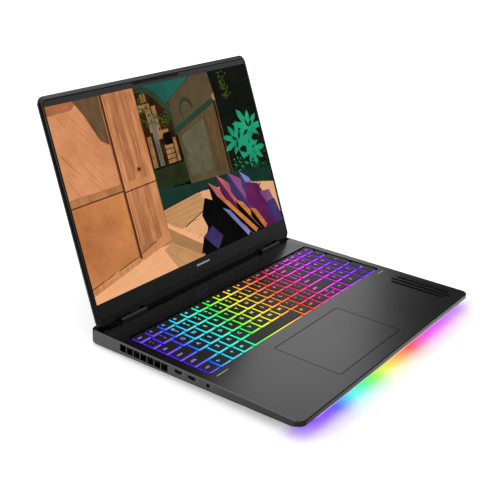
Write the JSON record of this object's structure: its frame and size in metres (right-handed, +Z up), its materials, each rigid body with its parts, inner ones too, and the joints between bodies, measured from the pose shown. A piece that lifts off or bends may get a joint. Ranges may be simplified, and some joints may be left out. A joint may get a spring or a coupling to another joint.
{
  "type": "laptop computer",
  "caption": "Open gaming laptop with a lit keyboard and number pad, touchpad, light bar under the front edge, and a display lid on friction hinges.",
  "frame": {"origin": "on the table under the centre of the opened laptop's bounding box", "axes": "+X to the user's right, +Y from the user to the rear, +Z up; the user sits on the -Y side"},
  "size_m": [0.3564, 0.3463, 0.2562],
  "materials": {
    "deck_paint": "fine-grain satin",
    "cover_plastic": "fine matte grain",
    "lid_paint": "fine-grain satin",
    "bezel_plastic": "fine satin grain",
    "screen": "anti-glare, lit",
    "gloss_black": "gloss",
    "keycap": "soft-touch matte",
    "key_plate": "satin",
    "light_plastic": "diffusing, lit",
    "silicone": "translucent matte",
    "touchpad_glass": "etched satin",
    "foot_rubber": "matte",
    "screw_steel": "satin",
    "socket_steel": "satin",
    "socket_plastic": "satin",
    "hinge_steel": "satin",
    "board": "solder-mask satin",
    "chip": "matte",
    "copper": "brushed",
    "fin_aluminium": "bare",
    "fan_plastic": "satin",
    "battery_wrap": "satin film",
    "cable_film": "satin film"
  },
  "bodies": {
    "base": {"top_deck": "deck_paint", "bottom_cover": "cover_plastic", "rubber_feet": "foot_rubber", "bottom_screws": "screw_steel", "light_bar": "light_plastic", "mainboard": "board", "processor_packages": "chip", "vapor_chamber": "copper", "heat_pipes": "copper", "heatsinks": "fin_aluminium", "fan_housings": "fan_plastic", "battery_pack": "battery_wrap", "ssd_module": "chip", "memory_modules": "board", "wireless_card": "board", "speakers": "fan_plastic", "usb_c_sockets": "socket_steel", "audio_jack": "socket_plastic", "usb_a_sockets": "socket_steel", "hdmi_socket": "socket_steel", "ethernet_socket": "socket_plastic", "power_socket": "socket_plastic", "rear_grille": "cover_plastic", "hinge_brackets": "hinge_steel", "hinge_caps": "bezel_plastic", "touchpad_bracket": "hinge_steel", "keyboard_plate": "key_plate", "light_guide": "light_plastic", "dome_sheet": "silicone", "key_scissors": "silicone"},
    "lid": {"lid_cover": "lid_paint", "screen_bezel": "bezel_plastic", "display_panel": "screen", "hinge_cover": "bezel_plastic", "camera_module": "gloss_black", "display_cable": "cable_film", "hinge_arms": "hinge_steel"},
    "fan_left": {"fan_rotor_left": "fan_plastic"},
    "fan_right": {"fan_rotor_right": "fan_plastic"},
    "touchpad": {"touchpad_plate": "touchpad_glass"},
    "escape_key": {"escape_key": "keycap"},
    "function_keys": {"function_keys": "keycap"},
    "navigation_keys": {"navigation_keys": "keycap"},
    "power_key": {"power_key": "keycap"},
    "number_keys": {"number_keys": "keycap"},
    "backspace_key": {"backspace_key": "keycap"},
    "tab_key": {"tab_key": "keycap"},
    "upper_letter_keys": {"upper_letter_keys": "keycap"},
    "caps_lock_key": {"caps_lock_key": "keycap"},
    "home_letter_keys": {"home_letter_keys": "keycap"},
    "enter_key": {"enter_key": "keycap"},
    "left_shift_key": {"left_shift_key": "keycap"},
    "right_shift_key": {"right_shift_key": "keycap"},
    "lower_letter_keys": {"lower_letter_keys": "keycap"},
    "modifier_keys": {"modifier_keys": "keycap"},
    "space_key": {"space_key": "keycap"},
    "arrow_keys": {"arrow_keys": "keycap"},
    "numpad_keys": {"numpad_keys": "keycap"},
    "numpad_plus_key": {"numpad_plus_key": "keycap"},
    "numpad_enter_key": {"numpad_enter_key": "keycap"}
  },
  "joints": [
    {"name": "lid_hinge", "type": "hinge", "parent": "base", "child": "lid", "pos_m": [0, 0.0808, 0.0185], "axis": [-1, 0, 0], "range_deg": [-110, 20]},
    {"name": "fan_left_spin", "type": "hinge", "parent": "base", "child": "fan_left", "pos_m": [-0.115, 0.0212, 0.007], "axis": [0, 0, 1], "continuous": true},
    {"name": "fan_right_spin", "type": "hinge", "parent": "base", "child": "fan_right", "pos_m": [0.115, 0.0212, 0.007], "axis": [0, 0, 1], "continuous": true},
    {"name": "touchpad_click", "type": "hinge", "parent": "base", "child": "touchpad", "pos_m": [-0.0227, -0.07715, 0.0169], "axis": [1, 0, 0], "range_deg": [0, 0.29], "stiffness_Nm_per_rad": 11, "springref_deg": -0.17},
    {"name": "escape_press", "type": "slide", "parent": "base", "child": "escape_key", "axis": [0, 0, -1], "range_m": [0, 0.0015], "stiffness_N_per_m": 300, "springref_m": -0.0006},
    {"name": "function_press", "type": "slide", "parent": "base", "child": "function_keys", "axis": [0, 0, -1], "range_m": [0, 0.0015], "stiffness_N_per_m": 3900, "springref_m": -0.0006},
    {"name": "navigation_press", "type": "slide", "parent": "base", "child": "navigation_keys", "axis": [0, 0, -1], "range_m": [0, 0.0015], "stiffness_N_per_m": 900, "springref_m": -0.0006},
    {"name": "power_press", "type": "slide", "parent": "base", "child": "power_key", "axis": [0, 0, -1], "range_m": [0, 0.0015], "stiffness_N_per_m": 300, "springref_m": -0.0006},
    {"name": "number_press", "type": "slide", "parent": "base", "child": "number_keys", "axis": [0, 0, -1], "range_m": [0, 0.0015], "stiffness_N_per_m": 3900, "springref_m": -0.0006},
    {"name": "backspace_press", "type": "slide", "parent": "base", "child": "backspace_key", "axis": [0, 0, -1], "range_m": [0, 0.0015], "stiffness_N_per_m": 300, "springref_m": -0.0006},
    {"name": "tab_press", "type": "slide", "parent": "base", "child": "tab_key", "axis": [0, 0, -1], "range_m": [0, 0.0015], "stiffness_N_per_m": 300, "springref_m": -0.0006},
    {"name": "upper_letter_press", "type": "slide", "parent": "base", "child": "upper_letter_keys", "axis": [0, 0, -1], "range_m": [0, 0.0015], "stiffness_N_per_m": 3900, "springref_m": -0.0006},
    {"name": "caps_lock_press", "type": "slide", "parent": "base", "child": "caps_lock_key", "axis": [0, 0, -1], "range_m": [0, 0.0015], "stiffness_N_per_m": 300, "springref_m": -0.0006},
    {"name": "home_letter_press", "type": "slide", "parent": "base", "child": "home_letter_keys", "axis": [0, 0, -1], "range_m": [0, 0.0015], "stiffness_N_per_m": 3300, "springref_m": -0.0006},
    {"name": "enter_press", "type": "slide", "parent": "base", "child": "enter_key", "axis": [0, 0, -1], "range_m": [0, 0.0015], "stiffness_N_per_m": 300, "springref_m": -0.0006},
    {"name": "left_shift_press", "type": "slide", "parent": "base", "child": "left_shift_key", "axis": [0, 0, -1], "range_m": [0, 0.0015], "stiffness_N_per_m": 300, "springref_m": -0.0006},
    {"name": "right_shift_press", "type": "slide", "parent": "base", "child": "right_shift_key", "axis": [0, 0, -1], "range_m": [0, 0.0015], "stiffness_N_per_m": 300, "springref_m": -0.0006},
    {"name": "lower_letter_press", "type": "slide", "parent": "base", "child": "lower_letter_keys", "axis": [0, 0, -1], "range_m": [0, 0.0015], "stiffness_N_per_m": 3000, "springref_m": -0.0006},
    {"name": "modifier_press", "type": "slide", "parent": "base", "child": "modifier_keys", "axis": [0, 0, -1], "range_m": [0, 0.0015], "stiffness_N_per_m": 1800, "springref_m": -0.0006},
    {"name": "space_press", "type": "slide", "parent": "base", "child": "space_key", "axis": [0, 0, -1], "range_m": [0, 0.0015], "stiffness_N_per_m": 300, "springref_m": -0.0006},
    {"name": "arrow_press", "type": "slide", "parent": "base", "child": "arrow_keys", "axis": [0, 0, -1], "range_m": [0, 0.0015], "stiffness_N_per_m": 1200, "springref_m": -0.0006},
    {"name": "numpad_press", "type": "slide", "parent": "base", "child": "numpad_keys", "axis": [0, 0, -1], "range_m": [0, 0.0015], "stiffness_N_per_m": 4500, "springref_m": -0.0006},
    {"name": "numpad_plus_press", "type": "slide", "parent": "base", "child": "numpad_plus_key", "axis": [0, 0, -1], "range_m": [0, 0.0015], "stiffness_N_per_m": 300, "springref_m": -0.0006},
    {"name": "numpad_enter_press", "type": "slide", "parent": "base", "child": "numpad_enter_key", "axis": [0, 0, -1], "range_m": [0, 0.0015], "stiffness_N_per_m": 300, "springref_m": -0.0006}
  ]
}
